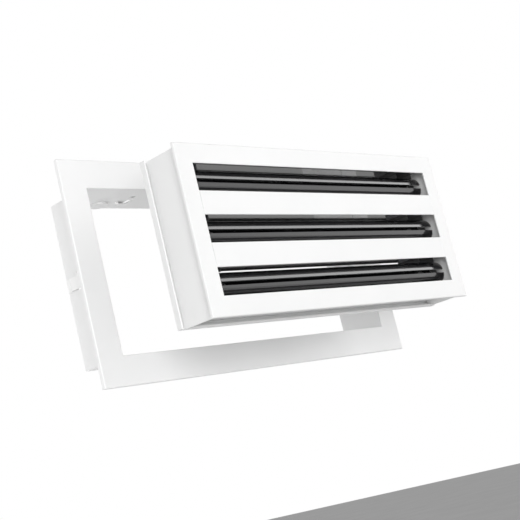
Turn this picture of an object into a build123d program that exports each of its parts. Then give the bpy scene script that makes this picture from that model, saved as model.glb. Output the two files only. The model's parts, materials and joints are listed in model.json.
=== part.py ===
import os
from math import cos, radians, sin
from build123d import *

os.makedirs("parts", exist_ok=True)

# Louvred air grille that slides into a mounting frame.
# X runs to the right seen from the front, +Y runs into the wall, +Z is up.
# The origin is the centre of the frame opening, on the wall plane.

# Sheet metal
sheet = 1.2

# Mounting frame
flange_width = 404.0
flange_height = 200.0
flange_depth = 4.0
opening_width = 352.0
opening_height = 148.0
sleeve_depth = 48.0
flange_edge_radius = 0.9
corner_relief_width = 3.0
corner_relief_depth = 3.4

# Round dimples pressed inwards in the top and bottom sleeve walls
dimple_x = 131.5
dimple_y = 38.0
dimple_radius = 8.5
dimple_tip_radius = 8.3
dimple_depth = 1.6

# Screw holes in the top and bottom sleeve walls
screw_hole_radius = 2.25
screw_hole_y = 15.0
screw_hole_x = 40.0

# Windows for the spring clips: main window, narrow notch beside it, small slot in front of it
clip_x = 108.0
side_clip_z = 0.3
window_width = 12.0
window_front_y = 24.6
window_rear_y = 35.0
notch_width = 3.8
notch_front_y = 29.0
notch_rear_y = 33.0
slot_width = 4.0
slot_front_y = 14.4
slot_rear_y = 19.5

# Spring clips
strap_width = 11.3
strap_thickness = 0.8
strap_front_y = 11.0
strap_bend_front_y = 41.0
strap_bend_rear_y = 43.5
strap_rear_y = 47.5
strap_front_lift = 0.4
strap_rear_lift = 1.05
catch_thickness = 1.5
catch_front_y = 29.6
catch_rear_y = 32.4
catch_reach = 2.2
catch_lift = 0.8
catch_offset = 8.5

# Grille, pulled out in front of the frame
face_width = 350.0
face_height = 146.0
face_front_y = -117.2
border = 17.2
face_edge_depth = 3.3
face_edge_radius = 0.9
overhang = 7.0
body_depth = 45.0
rim_inset = 1.5
rim_lip_depth = 6.4
rim_thickness = 1.8
rim_floor = 1.2
rim_radius = 1.0
lip_radius = 0.6
slot_edge_radius = 0.4
slot_pitch = 44.0
slot_height = 23.6
stiffener_depth = 7.0
stiffener_setback = 3.4
bar_end_gap = 0.15
bar_tab_length = 7.0
bar_tab_height = 10.0
bar_tab_lap = 8.0

# Corner brackets inside the mitred corners
bracket_leg = 4.2
bracket_front_depth = 4.0
bracket_rear_depth = 12.0

# Louvre blades: two shells of one round profile in each slot
axis_depth = 20.5
blade_radius = 12.0
blade_thickness = 1.2
blade_half_length = 159.5
upper_start_angle = 18.0
upper_arc = 140.0
upper_lip_length = 2.4
upper_lip_angle = 9.0
lower_start_angle = 187.1
lower_arc = 130.9
lower_lip_length = 0.0
rod_radius = 1.5
rod_clearance = 0.05
rod_head_radius = 2.5
rod_head_length = 1.0
hub_radius = 4.0
hub_width = 3.0
spoke_width = 5.0
upper_hub_positions = (-150.0, 0.0, 150.0)
lower_hub_positions = (-145.0, 5.0, 145.0)

# Black inner parts
panel_inner_x = 160.5
panel_front_depth = 18.0
panel_rear_depth = 43.0
bridge_x = 137.0
bridge_thickness = 1.5
bridge_cut_radius = 13.0
bridge_ring_radius = 3.5
bridge_finger_width = 2.4
bridge_finger_angle = -12.0
liner_offset = 16.0
liner_front_depth = 7.5
liner_rear_depth = 28.5
rear_plate_front_depth = 43.0
rear_window_half_x = 155.0
rear_window_height = 18.0
bar_window_height = 1.5
bar_window_drop = 2.85

# Derived sizes
wall_x = opening_width / 2
wall_z = opening_height / 2
half_flange_x = flange_width / 2
half_flange_z = flange_height / 2
flange_front_y = -flange_depth
half_face_x = face_width / 2
half_face_z = face_height / 2
web_inner_z = half_face_z - overhang - sheet
web_inner_x = half_face_x - overhang - sheet
slot_half_x = half_face_x - border
axis_y = face_front_y + axis_depth
slot_levels = (slot_pitch, 0.0, -slot_pitch)
bar_height = slot_pitch - slot_height
bore_radius = rod_radius + rod_clearance
panel_outer_x = panel_inner_x + sheet


def front_plane(y_rear):
    """Plane facing the front, with local x to the right and local y up."""
    return Plane(origin=(0, y_rear, 0), x_dir=(1, 0, 0), z_dir=(0, -1, 0))


def strip(x_from, x_to, y_from, y_to):
    """Rectangle between two pairs of coordinates in the current sketch."""
    with Locations(((x_from + x_to) / 2, (y_from + y_to) / 2)):
        Rectangle(abs(x_to - x_from), abs(y_to - y_from))


def block(x_from, x_to, y_from, y_to, z_from, z_to, mode=Mode.ADD):
    """Box between three pairs of coordinates in the current part."""
    with Locations(((x_from + x_to) / 2, (y_from + y_to) / 2, (z_from + z_to) / 2)):
        Box(abs(x_to - x_from), abs(y_to - y_from), abs(z_to - z_from), mode=mode)


# Spring clip, drawn over a wall whose outer face is at local z = 0
with BuildPart() as clip_form:
    with BuildSketch(Plane.YZ.offset(-window_width / 2)):
        with BuildLine():
            Polyline(
                (strap_front_y, strap_front_lift),
                (strap_bend_front_y, strap_rear_lift),
                (strap_bend_rear_y, 0),
                (strap_rear_y, 0),
                (strap_rear_y, strap_thickness),
                (strap_bend_rear_y, strap_thickness),
                (strap_bend_front_y, strap_rear_lift + strap_thickness),
                (strap_front_y, strap_front_lift + strap_thickness),
                close=True,
            )
        make_face()
    extrude(amount=strap_width)
    # ear beside the strap, with the catch bent down from it through the notch
    block(
        -catch_offset,
        -window_width / 2 + 1,
        catch_front_y,
        catch_rear_y,
        catch_lift,
        catch_lift + strap_thickness,
    )
    block(
        -catch_offset,
        -catch_offset + catch_thickness,
        catch_front_y,
        catch_rear_y,
        -sheet - catch_reach,
        catch_lift + strap_thickness,
    )

# Openings that each clip needs in its wall, over the same local z = 0
with BuildPart() as clip_openings:
    block(
        -window_width / 2,
        window_width / 2,
        window_front_y,
        window_rear_y,
        -2 * sheet,
        sheet,
    )
    block(
        -window_width / 2 - notch_width,
        -window_width / 2 + 1,
        notch_front_y,
        notch_rear_y,
        -2 * sheet,
        sheet,
    )
    block(-slot_width / 2, slot_width / 2, slot_front_y, slot_rear_y, -2 * sheet, sheet)

# Places of the clips: left and right on the top and bottom walls, one on each side wall
outer_wall_x = wall_x + sheet
outer_wall_z = wall_z + sheet
top_left_place = Location((-clip_x, 0, outer_wall_z))
top_right_place = Location((clip_x, 0, outer_wall_z))
bottom_left_place = Location((-clip_x, 0, -outer_wall_z))
bottom_right_place = Location((clip_x, 0, -outer_wall_z))
left_place = Location((-outer_wall_x, 0, side_clip_z), (0, -90, 0))
right_place = Location((outer_wall_x, 0, side_clip_z), (0, 90, 0))


def top_pair(form):
    """The two copies of a form that belong to the top wall."""
    return [form.moved(top_left_place), form.mirror(Plane.YZ).moved(top_right_place)]


def bottom_pair(form):
    """The two copies of a form that belong to the bottom wall."""
    turned = form.mirror(Plane.XY)
    return [turned.moved(bottom_left_place), turned.mirror(Plane.YZ).moved(bottom_right_place)]


def left_copy(form):
    """The copy of a form that belongs to the left wall."""
    return form.mirror(Plane.YZ).moved(left_place)


def right_copy(form):
    """The copy of a form that belongs to the right wall."""
    return form.moved(right_place)


# Flange of the mounting frame
with BuildPart() as frame_flange:
    with BuildSketch(front_plane(0)):
        Rectangle(flange_width, flange_height)
    extrude(amount=flange_depth)
    with BuildSketch(front_plane(0)):
        Rectangle(flange_width - 2 * sheet, flange_height - 2 * sheet)
    extrude(amount=flange_depth - sheet, mode=Mode.SUBTRACT)
    outer_front_edges = frame_flange.edges().group_by(Axis.Y)[0]
    fillet(outer_front_edges, flange_edge_radius)
    with BuildSketch(front_plane(0)):
        Rectangle(opening_width, opening_height)
    extrude(amount=flange_depth, mode=Mode.SUBTRACT)
    opening_edges = frame_flange.edges().group_by(Axis.Y)[0].filter_by(
        lambda edge: abs(edge.center().X) < wall_x + 1 and abs(edge.center().Z) < wall_z + 1
    )
    fillet(opening_edges, flange_edge_radius)


def long_wall(side):
    """Top (side = 1) or bottom (side = -1) wall of the sleeve."""
    rear_of_flange = flange_front_y + sheet
    turn = 180 if side > 0 else 0
    dimple_level = side * (wall_z - dimple_depth / 2)
    hollow_level = side * (outer_wall_z - dimple_depth / 2)
    dimples = [Location((x, dimple_y, dimple_level), (turn, 0, 0)) for x in (-dimple_x, dimple_x)]
    hollows = [Location((x, dimple_y, hollow_level), (turn, 0, 0)) for x in (-dimple_x, dimple_x)]
    with BuildPart() as wall:
        block(
            -outer_wall_x,
            outer_wall_x,
            rear_of_flange,
            sleeve_depth,
            side * wall_z,
            side * outer_wall_z,
        )
        with BuildSketch(Plane.XY.offset(side * wall_z)):
            with Locations((-screw_hole_x, screw_hole_y), (screw_hole_x, screw_hole_y)):
                Circle(screw_hole_radius)
        extrude(amount=2 * sheet, both=True, mode=Mode.SUBTRACT)
        with Locations(*dimples):
            Cone(dimple_radius, dimple_tip_radius, dimple_depth)
        with Locations(*hollows):
            Cone(
                dimple_radius - sheet,
                dimple_tip_radius - sheet,
                dimple_depth,
                mode=Mode.SUBTRACT,
            )
        for end in (-1, 1):
            block(
                end * (outer_wall_x - corner_relief_width),
                end * outer_wall_x,
                rear_of_flange,
                rear_of_flange + corner_relief_depth,
                side * wall_z,
                side * outer_wall_z,
                mode=Mode.SUBTRACT,
            )
        pair = top_pair(clip_openings.part) if side > 0 else bottom_pair(clip_openings.part)
        for opening in pair:
            add(opening, mode=Mode.SUBTRACT)
    return wall


def short_wall(side):
    """Left (side = -1) or right (side = 1) wall of the sleeve."""
    with BuildPart() as wall:
        block(
            side * wall_x,
            side * outer_wall_x,
            flange_front_y + sheet,
            sleeve_depth,
            -wall_z,
            wall_z,
        )
        opening = left_copy(clip_openings.part) if side < 0 else right_copy(clip_openings.part)
        add(opening, mode=Mode.SUBTRACT)
    return wall


sleeve_top = long_wall(1)
sleeve_bottom = long_wall(-1)
sleeve_left = short_wall(-1)
sleeve_right = short_wall(1)

# Spring clips on the sleeve
with BuildPart() as clips_top:
    for copy in top_pair(clip_form.part):
        add(copy)

with BuildPart() as clips_bottom:
    for copy in bottom_pair(clip_form.part):
        add(copy)

with BuildPart() as clip_left:
    add(left_copy(clip_form.part))

with BuildPart() as clip_right:
    add(right_copy(clip_form.part))


def folded_side(outward, outer, half_length, rear_half_length, stiffened):
    """One mitred side of the grille: face, folded edge, web and hooked rear rim."""
    outward = Vector(*outward)
    into_wall = Vector(0, 1, 0)
    along = outward.cross(into_wall)
    profile_plane = Plane(origin=(0, face_front_y, 0), x_dir=outward, z_dir=along)
    web_outer = outer - overhang
    lip_outer = outer - rim_inset
    lip_front = body_depth - rim_lip_depth
    with BuildPart() as side:
        with BuildSketch(profile_plane) as profile:
            strip(outer - border, outer, 0, sheet)
            strip(outer - sheet, outer, 0, face_edge_depth)
            strip(web_outer - sheet, outer, face_edge_depth - sheet, face_edge_depth)
            strip(web_outer - sheet, web_outer, face_edge_depth - sheet, body_depth)
            strip(web_outer - sheet, lip_outer, body_depth - rim_floor, body_depth)
            strip(lip_outer - rim_thickness, lip_outer, lip_front, body_depth)
            if stiffened:
                stiffener = outer - border + stiffener_setback
                strip(stiffener, stiffener + sheet, 0, stiffener_depth)
            rounded = (
                (outer, 0, face_edge_radius),
                (outer, face_edge_depth, face_edge_radius),
                (lip_outer, body_depth, rim_radius),
                (web_outer - sheet, body_depth, rim_radius),
                (lip_outer, lip_front, lip_radius),
                (lip_outer - rim_thickness, lip_front, lip_radius),
                (outer - border, 0, slot_edge_radius),
            )
            for corner_x, corner_y, radius in rounded:
                corner = profile.vertices().sort_by_distance((corner_x, corner_y, 0))[0]
                fillet(corner, radius)
        extrude(amount=half_length, both=True)
        # the face is mitred; behind the folded edge the side is cut square
        for end in (-1, 1):
            inner_corner = outward * (outer - border) + along * (end * (half_length - border))
            outer_corner = outward * outer + along * (end * half_length)
            spare_corner = outward * (outer - border) + along * (end * half_length)
            corners = [(point.X, point.Z) for point in (inner_corner, outer_corner, spare_corner)]
            with BuildSketch(front_plane(face_front_y + face_edge_depth)):
                Polygon(*corners, align=None)
            extrude(amount=face_edge_depth, mode=Mode.SUBTRACT)
            cut_from = outward * (outer - border) + along * (end * rear_half_length)
            cut_to = outward * outer + along * (end * half_length)
            block(
                cut_from.X,
                cut_to.X,
                face_front_y + face_edge_depth,
                face_front_y + body_depth,
                cut_from.Z,
                cut_to.Z,
                mode=Mode.SUBTRACT,
            )
    return side


rim_outer_z = half_face_z - rim_inset
right_stile = folded_side((1, 0, 0), half_face_x, half_face_z, rim_outer_z, False)
left_stile = folded_side((-1, 0, 0), half_face_x, half_face_z, rim_outer_z, False)
top_rail = folded_side((0, 0, 1), half_face_z, half_face_x, web_inner_x, True)
bottom_rail = folded_side((0, 0, -1), half_face_z, half_face_x, web_inner_x, True)


def slot_bar(level):
    """Channel bar between two slots, with a tab at each end behind the stile."""
    half_bar = bar_height / 2
    half_length = slot_half_x - bar_end_gap
    with BuildPart() as bar:
        with BuildSketch(Plane.YZ.offset(-half_length)) as profile:
            strip(face_front_y, face_front_y + sheet, level - half_bar, level + half_bar)
            for edge in (-1, 1):
                strip(
                    face_front_y,
                    face_front_y + stiffener_depth,
                    level + edge * (half_bar - stiffener_setback - sheet),
                    level + edge * (half_bar - stiffener_setback),
                )
            for edge in (-1, 1):
                corner_point = (face_front_y, level + edge * half_bar, 0)
                corner = profile.vertices().sort_by_distance(corner_point)[0]
                fillet(corner, slot_edge_radius)
        extrude(amount=2 * half_length)
        for end in (-1, 1):
            block(
                end * (slot_half_x - bar_tab_lap),
                end * (slot_half_x + bar_tab_length),
                face_front_y + sheet,
                face_front_y + 2 * sheet,
                level - bar_tab_height / 2,
                level + bar_tab_height / 2,
            )
    return bar


slot_bar_upper = slot_bar(slot_pitch / 2)
slot_bar_lower = slot_bar(-slot_pitch / 2)

# Brackets in the four mitred corners
with BuildPart() as corner_brackets:
    for side in (-1, 1):
        for level in (-1, 1):
            block(
                side * (web_inner_x - sheet),
                side * web_inner_x,
                face_front_y + bracket_front_depth,
                face_front_y + bracket_rear_depth,
                level * (web_inner_z - bracket_leg),
                level * web_inner_z,
            )
            block(
                side * (web_inner_x - bracket_leg),
                side * web_inner_x,
                face_front_y + bracket_front_depth,
                face_front_y + bracket_rear_depth,
                level * (web_inner_z - sheet),
                level * web_inner_z,
            )


def side_panel(side):
    """Black panel at one end of the blades, with a rear flange out to the stile."""
    with BuildPart() as panel:
        block(
            side * panel_inner_x,
            side * panel_outer_x,
            face_front_y + panel_front_depth,
            face_front_y + panel_rear_depth,
            -web_inner_z,
            web_inner_z,
        )
        block(
            side * panel_inner_x,
            side * web_inner_x,
            face_front_y + panel_rear_depth - sheet,
            face_front_y + panel_rear_depth,
            -web_inner_z,
            web_inner_z,
        )
        with BuildSketch(Plane.YZ.offset(-panel_outer_x)):
            for level in slot_levels:
                with Locations((axis_y, level)):
                    Circle(bore_radius)
        extrude(amount=2 * panel_outer_x, mode=Mode.SUBTRACT)
    return panel


side_panel_left = side_panel(-1)
side_panel_right = side_panel(1)


def liner_profile(low, high, top_plate, bottom_plate):
    """Channel section behind a bar: front web with plates at the stated heights."""
    front = face_front_y + liner_front_depth
    rear = face_front_y + liner_rear_depth
    strip(front, front + sheet, low, high)
    if top_plate:
        strip(front, rear, high - sheet, high)
    if bottom_plate:
        strip(front, rear, low, low + sheet)


def slot_liner(low, high, top_plate, bottom_plate):
    """Black glossy channel that lines the space above or below a slot."""
    with BuildPart() as liner:
        with BuildSketch(Plane.YZ.offset(-panel_inner_x)):
            liner_profile(low, high, top_plate, bottom_plate)
        extrude(amount=2 * panel_inner_x)
    return liner


upper_liner_low = liner_offset
upper_liner_high = slot_pitch - liner_offset
top_liner_low = slot_pitch + liner_offset
liner_sections = (
    (top_liner_low, web_inner_z, False, True),
    (upper_liner_low, upper_liner_high, True, True),
    (-upper_liner_high, -upper_liner_low, True, True),
    (-web_inner_z, -top_liner_low, True, False),
)
liner_top = slot_liner(*liner_sections[0])
liner_upper = slot_liner(*liner_sections[1])
liner_lower = slot_liner(*liner_sections[2])
liner_bottom = slot_liner(*liner_sections[3])


# Black plate across the back, with an air window behind each slot and one behind each bar
with BuildPart() as rear_plate:
    rear_plate_y = face_front_y + rear_plate_front_depth + sheet
    with BuildSketch(front_plane(rear_plate_y)):
        Rectangle(2 * web_inner_x, 2 * web_inner_z)
        for level in slot_levels:
            with Locations((0, level)):
                Rectangle(2 * rear_window_half_x, rear_window_height, mode=Mode.SUBTRACT)
        for level in (slot_pitch / 2, -slot_pitch / 2):
            with Locations((0, level - bar_window_drop)):
                Rectangle(2 * rear_window_half_x, bar_window_height, mode=Mode.SUBTRACT)
    extrude(amount=sheet)


def bridge(side):
    """Black cross plate with a ring on a finger that carries each blade rod."""
    plate_front = face_front_y + panel_front_depth
    plate_rear = face_front_y + panel_rear_depth
    with BuildPart() as plate:
        with BuildSketch(Plane.YZ.offset(side * bridge_x - bridge_thickness / 2)):
            strip(plate_front, plate_rear, -web_inner_z, web_inner_z)
            for level in slot_levels:
                with Locations((axis_y, level)):
                    Circle(bridge_cut_radius, mode=Mode.SUBTRACT)
            for level in slot_levels:
                with Locations((axis_y, level)):
                    Circle(bridge_ring_radius)
                    Rectangle(
                        bridge_cut_radius + bridge_finger_width,
                        bridge_finger_width,
                        rotation=bridge_finger_angle,
                        align=(Align.MIN, Align.CENTER),
                    )
            for level in slot_levels:
                with Locations((axis_y, level)):
                    Circle(bore_radius, mode=Mode.SUBTRACT)
        extrude(amount=bridge_thickness)
        for liner in (liner_top, liner_upper, liner_lower, liner_bottom):
            add(liner.part, mode=Mode.SUBTRACT)
    return plate


bridge_left = bridge(-1)
bridge_right = bridge(1)


def blade_rod(level):
    """Rod with a small head at each end, outside the side panels."""
    with BuildPart() as rod:
        with BuildSketch(Plane.YZ.offset(-panel_outer_x)):
            with Locations((axis_y, level)):
                Circle(rod_radius)
        extrude(amount=2 * panel_outer_x)
        with BuildSketch(Plane.YZ.offset(panel_outer_x)):
            with Locations((axis_y, level)):
                Circle(rod_head_radius)
        extrude(amount=rod_head_length)
        with BuildSketch(Plane.YZ.offset(-panel_outer_x)):
            with Locations((axis_y, level)):
                Circle(rod_head_radius)
        extrude(amount=-rod_head_length)
    return rod


def blade(level, start_angle, arc, lip_length, hub_positions, spoke_angle):
    """Curved louvre shell with spokes and hubs that turn on the rod."""
    lip = Vector(-sin(radians(upper_lip_angle)), -cos(radians(upper_lip_angle))) * lip_length
    with BuildPart() as shell:
        with BuildSketch(Plane.YZ.offset(-blade_half_length)) as profile:
            with BuildLine():
                outer_arc = CenterArc((axis_y, level), blade_radius, start_angle, arc)
                inner_radius = blade_radius - blade_thickness
                inner_arc = CenterArc((axis_y, level), inner_radius, start_angle, arc)
                Line(outer_arc @ 0, inner_arc @ 0)
                if lip_length > 0:
                    outer_lip = Line(outer_arc @ 1, (outer_arc @ 1) + lip)
                    inner_lip = Line(inner_arc @ 1, (inner_arc @ 1) + lip)
                    Line(outer_lip @ 1, inner_lip @ 1)
                else:
                    Line(outer_arc @ 1, inner_arc @ 1)
            make_face()
        extrude(amount=2 * blade_half_length)
        for position in hub_positions:
            with BuildSketch(Plane.YZ.offset(position - hub_width / 2)):
                with Locations((axis_y, level)):
                    Circle(hub_radius)
                    Rectangle(
                        blade_radius - blade_thickness / 2,
                        spoke_width,
                        rotation=spoke_angle,
                        align=(Align.MIN, Align.CENTER),
                    )
                    Circle(bore_radius, mode=Mode.SUBTRACT)
            extrude(amount=hub_width)
    return shell


blade_rod_1 = blade_rod(slot_levels[0])
blade_rod_2 = blade_rod(slot_levels[1])
blade_rod_3 = blade_rod(slot_levels[2])

upward = 90
downward = 270
upper_shape = (upper_start_angle, upper_arc, upper_lip_length, upper_hub_positions, upward)
lower_shape = (lower_start_angle, lower_arc, lower_lip_length, lower_hub_positions, downward)
upper_blade_1 = blade(slot_levels[0], *upper_shape)
upper_blade_2 = blade(slot_levels[1], *upper_shape)
upper_blade_3 = blade(slot_levels[2], *upper_shape)
lower_blade_1 = blade(slot_levels[0], *lower_shape)
lower_blade_2 = blade(slot_levels[1], *lower_shape)
lower_blade_3 = blade(slot_levels[2], *lower_shape)

frame_flange.part.label = "frame_flange"
export_step(frame_flange.part, "parts/frame_flange.step")
sleeve_top.part.label = "sleeve_top"
export_step(sleeve_top.part, "parts/sleeve_top.step")
sleeve_bottom.part.label = "sleeve_bottom"
export_step(sleeve_bottom.part, "parts/sleeve_bottom.step")
sleeve_left.part.label = "sleeve_left"
export_step(sleeve_left.part, "parts/sleeve_left.step")
sleeve_right.part.label = "sleeve_right"
export_step(sleeve_right.part, "parts/sleeve_right.step")
clip_left.part.label = "clip_left"
export_step(clip_left.part, "parts/clip_left.step")
clip_right.part.label = "clip_right"
export_step(clip_right.part, "parts/clip_right.step")
clips_top.part.label = "clips_top"
export_step(clips_top.part, "parts/clips_top.step")
clips_bottom.part.label = "clips_bottom"
export_step(clips_bottom.part, "parts/clips_bottom.step")
top_rail.part.label = "top_rail"
export_step(top_rail.part, "parts/top_rail.step")
bottom_rail.part.label = "bottom_rail"
export_step(bottom_rail.part, "parts/bottom_rail.step")
left_stile.part.label = "left_stile"
export_step(left_stile.part, "parts/left_stile.step")
right_stile.part.label = "right_stile"
export_step(right_stile.part, "parts/right_stile.step")
slot_bar_upper.part.label = "slot_bar_upper"
export_step(slot_bar_upper.part, "parts/slot_bar_upper.step")
slot_bar_lower.part.label = "slot_bar_lower"
export_step(slot_bar_lower.part, "parts/slot_bar_lower.step")
corner_brackets.part.label = "corner_brackets"
export_step(corner_brackets.part, "parts/corner_brackets.step")
side_panel_left.part.label = "side_panel_left"
export_step(side_panel_left.part, "parts/side_panel_left.step")
side_panel_right.part.label = "side_panel_right"
export_step(side_panel_right.part, "parts/side_panel_right.step")
liner_top.part.label = "liner_top"
export_step(liner_top.part, "parts/liner_top.step")
liner_upper.part.label = "liner_upper"
export_step(liner_upper.part, "parts/liner_upper.step")
liner_lower.part.label = "liner_lower"
export_step(liner_lower.part, "parts/liner_lower.step")
liner_bottom.part.label = "liner_bottom"
export_step(liner_bottom.part, "parts/liner_bottom.step")
rear_plate.part.label = "rear_plate"
export_step(rear_plate.part, "parts/rear_plate.step")
bridge_left.part.label = "bridge_left"
export_step(bridge_left.part, "parts/bridge_left.step")
bridge_right.part.label = "bridge_right"
export_step(bridge_right.part, "parts/bridge_right.step")
blade_rod_1.part.label = "blade_rod_1"
export_step(blade_rod_1.part, "parts/blade_rod_1.step")
blade_rod_2.part.label = "blade_rod_2"
export_step(blade_rod_2.part, "parts/blade_rod_2.step")
blade_rod_3.part.label = "blade_rod_3"
export_step(blade_rod_3.part, "parts/blade_rod_3.step")
upper_blade_1.part.label = "upper_blade_1"
export_step(upper_blade_1.part, "parts/upper_blade_1.step")
upper_blade_2.part.label = "upper_blade_2"
export_step(upper_blade_2.part, "parts/upper_blade_2.step")
upper_blade_3.part.label = "upper_blade_3"
export_step(upper_blade_3.part, "parts/upper_blade_3.step")
lower_blade_1.part.label = "lower_blade_1"
export_step(lower_blade_1.part, "parts/lower_blade_1.step")
lower_blade_2.part.label = "lower_blade_2"
export_step(lower_blade_2.part, "parts/lower_blade_2.step")
lower_blade_3.part.label = "lower_blade_3"
export_step(lower_blade_3.part, "parts/lower_blade_3.step")
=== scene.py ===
import json
import math

import bmesh
import bpy
from mathutils import Matrix, Vector


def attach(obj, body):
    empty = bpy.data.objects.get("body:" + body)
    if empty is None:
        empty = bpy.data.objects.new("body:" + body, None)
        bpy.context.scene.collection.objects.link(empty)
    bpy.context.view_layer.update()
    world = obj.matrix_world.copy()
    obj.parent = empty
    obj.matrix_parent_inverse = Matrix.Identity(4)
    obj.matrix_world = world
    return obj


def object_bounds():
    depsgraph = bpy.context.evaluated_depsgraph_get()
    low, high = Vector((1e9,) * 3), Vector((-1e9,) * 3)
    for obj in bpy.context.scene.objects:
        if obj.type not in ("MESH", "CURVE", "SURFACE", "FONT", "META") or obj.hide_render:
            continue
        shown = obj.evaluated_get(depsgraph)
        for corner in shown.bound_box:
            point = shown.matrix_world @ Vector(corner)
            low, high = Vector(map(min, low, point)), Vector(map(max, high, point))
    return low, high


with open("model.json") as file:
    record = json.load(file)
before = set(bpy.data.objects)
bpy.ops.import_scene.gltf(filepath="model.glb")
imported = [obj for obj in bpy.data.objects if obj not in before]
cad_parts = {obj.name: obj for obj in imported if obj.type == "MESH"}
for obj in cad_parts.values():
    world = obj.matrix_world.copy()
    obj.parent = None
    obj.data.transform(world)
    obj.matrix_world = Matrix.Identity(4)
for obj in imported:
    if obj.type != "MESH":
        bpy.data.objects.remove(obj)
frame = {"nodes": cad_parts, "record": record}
cad_box = [list(map(float, c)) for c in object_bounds()]

# ---------------------------------------------------------------- sizes, in metres
FACE_Y = cad_box[0][1]              # front of the grille face at rest
SLOT_LEVELS = (0.044, 0.0, -0.044)  # centres of the three slots
SLOT_CEILING = 0.016                # underside of the black channel, above a slot's centre

# small folded lug under each slot's ceiling
LUG_X = 0.113                       # its hanging web
LUG_FRONT = 0.010                   # both ends, behind the face
LUG_REAR = 0.026
LUG_SHEET = 0.0006
LUG_DROP = 0.0019                   # how far the web hangs down
LUG_FOOT = 0.0042                   # how far the foot reaches along the ceiling
LUG_BEND = 0.00132                  # where the inner bend starts, on the foot and on the web
LUG_BEND_MIDDLE = (0.00078, 0.0009)
LUG_GAP = 0.00002                   # clearance to the ceiling
LUG_TAPER = ((0.0, 0.55), (0.12, 0.85), (0.30, 1.0), (0.70, 1.0), (0.88, 0.85), (1.0, 0.55))

FLOOR_Z = -0.75
FLOOR_SIZE = 30.0
FLOOR_DARK = (0.60, 0.60, 0.60)
FLOOR_LIGHT = (0.64, 0.64, 0.64)

# ---------------------------------------------------------------- camera and surround
CAMERA_AT = (-0.8112, FACE_Y - 0.6436, -0.2089)
CAMERA_RIGHT = (0.67839, -0.69546, -0.23689)
CAMERA_FORWARD = (0.73434, 0.65188, 0.18918)
SENSOR = 36.0                       # millimetres
LENS = 81.69923
SHIFT = (-0.0307692, -0.0140385)
CLIP = (0.01, 50.0)

WHITE = (1.0, 1.0, 1.0, 1.0)
AMBIENT = 0.40                      # strength of the surround, level with the object
TOWARDS_BACK = 0.36                 # what each direction adds to it
TOWARDS_RIGHT = -0.02
TOWARDS_TOP = 0.12
DIMMEST = 0.02


# ---------------------------------------------------------------- shader helpers
def new_material(name):
    """A material with one Principled shader: the material, its node tree and the shader."""
    mat = bpy.data.materials.new(name)
    mat.use_nodes = True
    tree = mat.node_tree
    tree.nodes.clear()
    out = tree.nodes.new("ShaderNodeOutputMaterial")
    bsdf = tree.nodes.new("ShaderNodeBsdfPrincipled")
    tree.links.new(bsdf.outputs["BSDF"], out.inputs["Surface"])
    return mat, tree, bsdf


def noise(tree, scale, detail, roughness=0.5, stretch=(1.0, 1.0, 1.0), offset=(0.0, 0.0, 0.0)):
    coord = tree.nodes.new("ShaderNodeTexCoord")
    mapping = tree.nodes.new("ShaderNodeMapping")
    mapping.inputs["Scale"].default_value = stretch
    mapping.inputs["Location"].default_value = offset
    tex = tree.nodes.new("ShaderNodeTexNoise")
    tex.inputs["Scale"].default_value = scale
    tex.inputs["Detail"].default_value = detail
    tex.inputs["Roughness"].default_value = roughness
    tree.links.new(coord.outputs["Object"], mapping.inputs["Vector"])
    tree.links.new(mapping.outputs["Vector"], tex.inputs["Vector"])
    return tex.outputs["Fac"]


def blend_colours(tree, value, dark, light, low, high):
    """Dark where value is at or under low, light where it is at or over high."""
    node = tree.nodes.new("ShaderNodeValToRGB")
    for stop, position, colour in zip(node.color_ramp.elements, (low, high), (dark, light)):
        stop.position = position
        stop.color = (*colour, 1.0)
    tree.links.new(value, node.inputs["Fac"])
    return node.outputs["Color"]


def spread(tree, value, limits, low, high):
    """Value, from low to high, mapped on the two limits."""
    node = tree.nodes.new("ShaderNodeMapRange")
    node.inputs["From Min"].default_value = low
    node.inputs["From Max"].default_value = high
    node.inputs["To Min"].default_value = limits[0]
    node.inputs["To Max"].default_value = limits[1]
    tree.links.new(value, node.inputs["Value"])
    return node.outputs["Result"]


def bump(tree, height, strength, distance, normal=None):
    node = tree.nodes.new("ShaderNodeBump")
    node.inputs["Strength"].default_value = strength
    node.inputs["Distance"].default_value = distance
    tree.links.new(height, node.inputs["Height"])
    if normal is not None:
        tree.links.new(normal, node.inputs["Normal"])
    return node.outputs["Normal"]


# ---------------------------------------------------------------- finishes
GRAIN_SCALE = 3.1    # the fine grain of powder coat, against its orange peel
GRAIN_DEPTH = 0.5
WAVE_DEPTH = 4.0     # the waves of enamelled sheet, against its drawn lines


def powder_coat(name, light, dark, roughness, peel_scale, peel_depth):
    """White powder coat: a slight drift of the tone and a very fine orange peel."""
    mat, tree, bsdf = new_material(name)
    drift = noise(tree, scale=14.0, detail=3.0, roughness=0.55)
    peel = noise(tree, scale=peel_scale, detail=2.0)
    grain = noise(tree, scale=peel_scale * GRAIN_SCALE, detail=2.0, roughness=0.6, offset=(3.0, 1.0, 2.0))
    peeled = bump(tree, peel, strength=0.35, distance=peel_depth)
    grained = bump(tree, grain, strength=0.22, distance=peel_depth * GRAIN_DEPTH, normal=peeled)
    tree.links.new(blend_colours(tree, drift, dark, light, low=0.30, high=0.70), bsdf.inputs["Base Color"])
    tree.links.new(spread(tree, peel, roughness, low=0.3, high=0.7), bsdf.inputs["Roughness"])
    tree.links.new(grained, bsdf.inputs["Normal"])
    bsdf.inputs["Specular IOR Level"].default_value = 0.45
    bsdf.inputs["Coat Weight"].default_value = 0.12
    bsdf.inputs["Coat Roughness"].default_value = 0.22
    return mat


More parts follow.
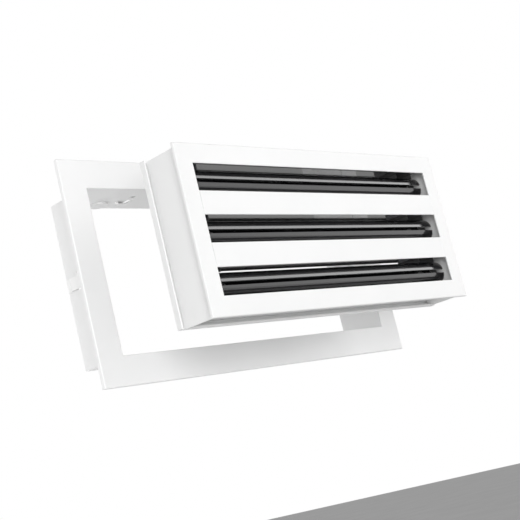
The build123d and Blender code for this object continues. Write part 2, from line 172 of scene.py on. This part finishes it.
def gloss_black(name, light, dark, roughness, streak_depth, specular):
    """Black enamel: faint drawn lines and waves along the length, and soft changes of gloss."""
    mat, tree, bsdf = new_material(name)
    drift = noise(tree, scale=30.0, detail=4.0, roughness=0.6, stretch=(0.25, 1.0, 1.0))
    lines = noise(tree, scale=900.0, detail=2.0, stretch=(0.02, 1.0, 1.0))
    waves = noise(tree, scale=60.0, detail=2.0, stretch=(0.3, 1.0, 1.0), offset=(5.0, 2.0, 1.0))
    lined = bump(tree, lines, strength=0.10, distance=streak_depth)
    waved = bump(tree, waves, strength=0.12, distance=streak_depth * WAVE_DEPTH, normal=lined)
    tree.links.new(blend_colours(tree, drift, dark, light, low=0.35, high=0.70), bsdf.inputs["Base Color"])
    tree.links.new(spread(tree, drift, roughness, low=0.3, high=0.75), bsdf.inputs["Roughness"])
    tree.links.new(waved, bsdf.inputs["Normal"])
    bsdf.inputs["Specular IOR Level"].default_value = specular
    bsdf.inputs["Coat Weight"].default_value = 1.0
    bsdf.inputs["Coat Roughness"].default_value = 0.06
    return mat


def satin_black(name, light, dark, roughness):
    """Satin black sheet with a fine even grain."""
    mat, tree, bsdf = new_material(name)
    drift = noise(tree, scale=45.0, detail=4.0, roughness=0.6)
    grain = noise(tree, scale=1400.0, detail=2.0)
    tree.links.new(blend_colours(tree, drift, dark, light, low=0.30, high=0.75), bsdf.inputs["Base Color"])
    tree.links.new(spread(tree, drift, roughness, low=0.3, high=0.7), bsdf.inputs["Roughness"])
    tree.links.new(bump(tree, grain, strength=0.25, distance=0.00006), bsdf.inputs["Normal"])
    return mat


def drawn_steel(name, light, dark, roughness):
    """Dull steel with fine lines along its length and faint stains."""
    mat, tree, bsdf = new_material(name)
    stain = noise(tree, scale=70.0, detail=4.0, roughness=0.6)
    lines = noise(tree, scale=1500.0, detail=3.0, roughness=0.6, stretch=(0.03, 1.0, 1.0))
    tree.links.new(blend_colours(tree, stain, dark, light, low=0.30, high=0.70), bsdf.inputs["Base Color"])
    tree.links.new(spread(tree, lines, roughness, low=0.3, high=0.7), bsdf.inputs["Roughness"])
    tree.links.new(bump(tree, lines, strength=0.25, distance=0.00004), bsdf.inputs["Normal"])
    bsdf.inputs["Metallic"].default_value = 1.0
    return mat


finishes = {
    # the frame's white is set lighter than the grille's to make up for the shade the grille throws on the
    # flange: painted light
    "frame_white": powder_coat(
        "frame_powder_coat_painted_light",
        light=(0.915, 0.916, 0.915),
        dark=(0.895, 0.897, 0.896),
        roughness=(0.34, 0.44),
        peel_scale=1500.0,
        peel_depth=0.00005,
    ),
    # the grille's white is set darker than the frame's to take light off the brightly lit face: painted
    # shade
    "grille_white": powder_coat(
        "grille_powder_coat_painted_shade",
        light=(0.855, 0.856, 0.854),
        dark=(0.835, 0.837, 0.836),
        roughness=(0.30, 0.40),
        peel_scale=1500.0,
        peel_depth=0.00005,
    ),
    "blade_black": gloss_black(
        "blade_enamel",
        light=(0.018, 0.018, 0.020),
        dark=(0.012, 0.012, 0.013),
        roughness=(0.12, 0.18),
        streak_depth=0.000006,
        specular=0.7,
    ),
    "liner_black": gloss_black(
        "liner_enamel",
        light=(0.016, 0.016, 0.018),
        dark=(0.010, 0.010, 0.011),
        roughness=(0.10, 0.16),
        streak_depth=0.000006,
        specular=1.0,
    ),
    "inner_black": satin_black(
        "inner_satin_black",
        light=(0.120, 0.120, 0.122),
        dark=(0.090, 0.090, 0.092),
        roughness=(0.38, 0.55),
    ),
    # the clips share the frame's white powder coat, set brighter so they stand out lighter than the wall
    # they sit on: painted light
    "clip_white": powder_coat(
        "clip_coating_painted_light",
        light=(0.965, 0.965, 0.960),
        dark=(0.950, 0.950, 0.945),
        roughness=(0.48, 0.56),
        peel_scale=1200.0,
        peel_depth=0.00004,
    ),
    "rod_steel": drawn_steel(
        "rod_steel",
        light=(0.30, 0.30, 0.31),
        dark=(0.22, 0.22, 0.23),
        roughness=(0.30, 0.45),
    ),
}

slot_of = {part["node"]: part["material_slot"] for part in frame["record"]["subparts"]}
for node_name, node_object in frame["nodes"].items():
    for material_slot in node_object.material_slots:
        material_slot.material = finishes[slot_of[node_name]]

# ---------------------------------------------------------------- lugs under the slot ceilings
LUG_SECTION = (                     # sideways from the web, down from the ceiling
    (0.0, 0.0),
    (LUG_FOOT, 0.0),
    (LUG_FOOT, -LUG_SHEET),
    (LUG_BEND, -LUG_SHEET),
    (LUG_BEND_MIDDLE[0], -LUG_BEND_MIDDLE[1]),
    (LUG_SHEET, -LUG_BEND),
    (LUG_SHEET, -LUG_DROP),
    (0.0, -LUG_DROP),
)


def lug_ring(bm, y, top, keep):
    """The section at one depth, with what hangs below the foot drawn up to keep of its height."""
    ring = []
    for x, z in LUG_SECTION:
        drop = z * keep if z < -LUG_SHEET else z
        ring.append(bm.verts.new((LUG_X + x, y, top + drop)))
    return ring


def lug(name, slot_level):
    """Folded strip: a foot under the black channel, and a web with tapered ends that hangs from it."""
    top = slot_level + SLOT_CEILING - LUG_GAP
    bm = bmesh.new()
    rings = []
    for along, keep in LUG_TAPER:
        y = FACE_Y + LUG_FRONT + along * (LUG_REAR - LUG_FRONT)
        rings.append(lug_ring(bm, y, top, keep))
    corners = len(LUG_SECTION)
    for near, far in zip(rings, rings[1:]):
        for i in range(corners):
            j = (i + 1) % corners
            bm.faces.new((near[i], near[j], far[j], far[i]))
    bm.faces.new(rings[0])
    bm.faces.new(list(reversed(rings[-1])))
    bmesh.ops.recalc_face_normals(bm, faces=bm.faces)
    mesh = bpy.data.meshes.new(name)
    bm.to_mesh(mesh)
    bm.free()
    mesh.materials.append(finishes["rod_steel"])
    piece = bpy.data.objects.new(name, mesh)
    bpy.context.collection.objects.link(piece)
    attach(piece, "grille")


for number, slot_level in enumerate(SLOT_LEVELS, 1):
    lug("ceiling_lug_%d" % number, slot_level)


# ---------------------------------------------------------------- floor
def floor_paper():
    """Matt light grey paper."""
    mat, tree, bsdf = new_material("floor_paper")
    tone = noise(tree, scale=3.0, detail=3.0)
    colour = blend_colours(tree, tone, dark=FLOOR_DARK, light=FLOOR_LIGHT, low=0.30, high=0.70)
    tree.links.new(colour, bsdf.inputs["Base Color"])
    bsdf.inputs["Roughness"].default_value = 0.8
    return mat


bpy.ops.mesh.primitive_plane_add(size=FLOOR_SIZE, location=(0.0, 0.0, FLOOR_Z))
floor = bpy.context.object
floor.name = "floor"
floor.data.materials.append(floor_paper())


# ---------------------------------------------------------------- surround
def world_math(tree, operation, *terms):
    """One math node; a term is a number or another node's output."""
    node = tree.nodes.new("ShaderNodeMath")
    node.operation = operation
    for socket, term in zip(node.inputs, terms):
        if isinstance(term, float):
            socket.default_value = term
        else:
            tree.links.new(term, socket)
    return node.outputs["Value"]


def studio_world():
    """Soft surround, brighter behind and above the object; the camera sees it as even white."""
    world = bpy.data.worlds.new("studio")
    bpy.context.scene.world = world
    world.use_nodes = True
    tree = world.node_tree
    coord = tree.nodes.new("ShaderNodeTexCoord")
    axes = tree.nodes.new("ShaderNodeSeparateXYZ")
    tree.links.new(coord.outputs["Generated"], axes.inputs["Vector"])
    strength = AMBIENT
    for axis, gain in (("Y", TOWARDS_BACK), ("X", TOWARDS_RIGHT), ("Z", TOWARDS_TOP)):
        share = world_math(tree, "MULTIPLY", axes.outputs[axis], gain)
        strength = world_math(tree, "ADD", strength, share)
    strength = world_math(tree, "MAXIMUM", strength, DIMMEST)

    lighting = tree.nodes["Background"]
    lighting.inputs["Color"].default_value = WHITE
    tree.links.new(strength, lighting.inputs["Strength"])
    seen = tree.nodes.new("ShaderNodeBackground")
    seen.inputs["Color"].default_value = WHITE
    seen.inputs["Strength"].default_value = 1.0

    path = tree.nodes.new("ShaderNodeLightPath")
    mix = tree.nodes.new("ShaderNodeMixShader")
    tree.links.new(path.outputs["Is Camera Ray"], mix.inputs["Fac"])
    tree.links.new(lighting.outputs["Background"], mix.inputs[1])
    tree.links.new(seen.outputs["Background"], mix.inputs[2])
    tree.links.new(mix.outputs["Shader"], tree.nodes["World Output"].inputs["Surface"])


studio_world()


# ---------------------------------------------------------------- lights
def softbox(name, toward, distance, size, radiance):
    """Rectangular soft light that faces the origin; its power follows from its size and radiance."""
    data = bpy.data.lights.new(name, "AREA")
    data.shape = "RECTANGLE"
    data.size, data.size_y = size
    data.energy = radiance * math.pi * size[0] * size[1]
    light = bpy.data.objects.new(name, data)
    bpy.context.collection.objects.link(light)
    direction = Vector(toward).normalized()
    light.location = direction * distance
    light.rotation_euler = (-direction).to_track_quat("-Z", "Y").to_euler()
    light.visible_camera = False


softbox("key_left", toward=(-0.67, -0.74, 0.075), distance=2.6, size=(1.5, 1.3), radiance=7.5)
softbox("bounce_right", toward=(0.88, -0.50, -0.12), distance=2.4, size=(2.6, 0.85), radiance=0.72)
softbox("back_low", toward=(0.05, 1.60, -0.34), distance=1.7, size=(1.8, 0.8), radiance=4.3)
softbox("fill_right_top", toward=(1.40, -0.85, 0.62), distance=2.6, size=(2.2, 1.7), radiance=2.2)


# ---------------------------------------------------------------- camera
def camera():
    """Low and to the left of the grille, looking up and to the right, a little rolled."""
    data = bpy.data.cameras.new("camera")
    data.sensor_width = SENSOR
    data.lens = LENS
    data.shift_x, data.shift_y = SHIFT
    data.clip_start, data.clip_end = CLIP
    back = -Vector(CAMERA_FORWARD).normalized()
    up = back.cross(Vector(CAMERA_RIGHT)).normalized()
    right = up.cross(back)
    pose = Matrix((right, up, back)).transposed().to_4x4()
    pose.translation = Vector(CAMERA_AT)
    cam = bpy.data.objects.new("camera", data)
    bpy.context.collection.objects.link(cam)
    cam.matrix_world = pose
    bpy.context.scene.camera = cam


camera()
bpy.context.scene.view_settings.view_transform = "Standard"
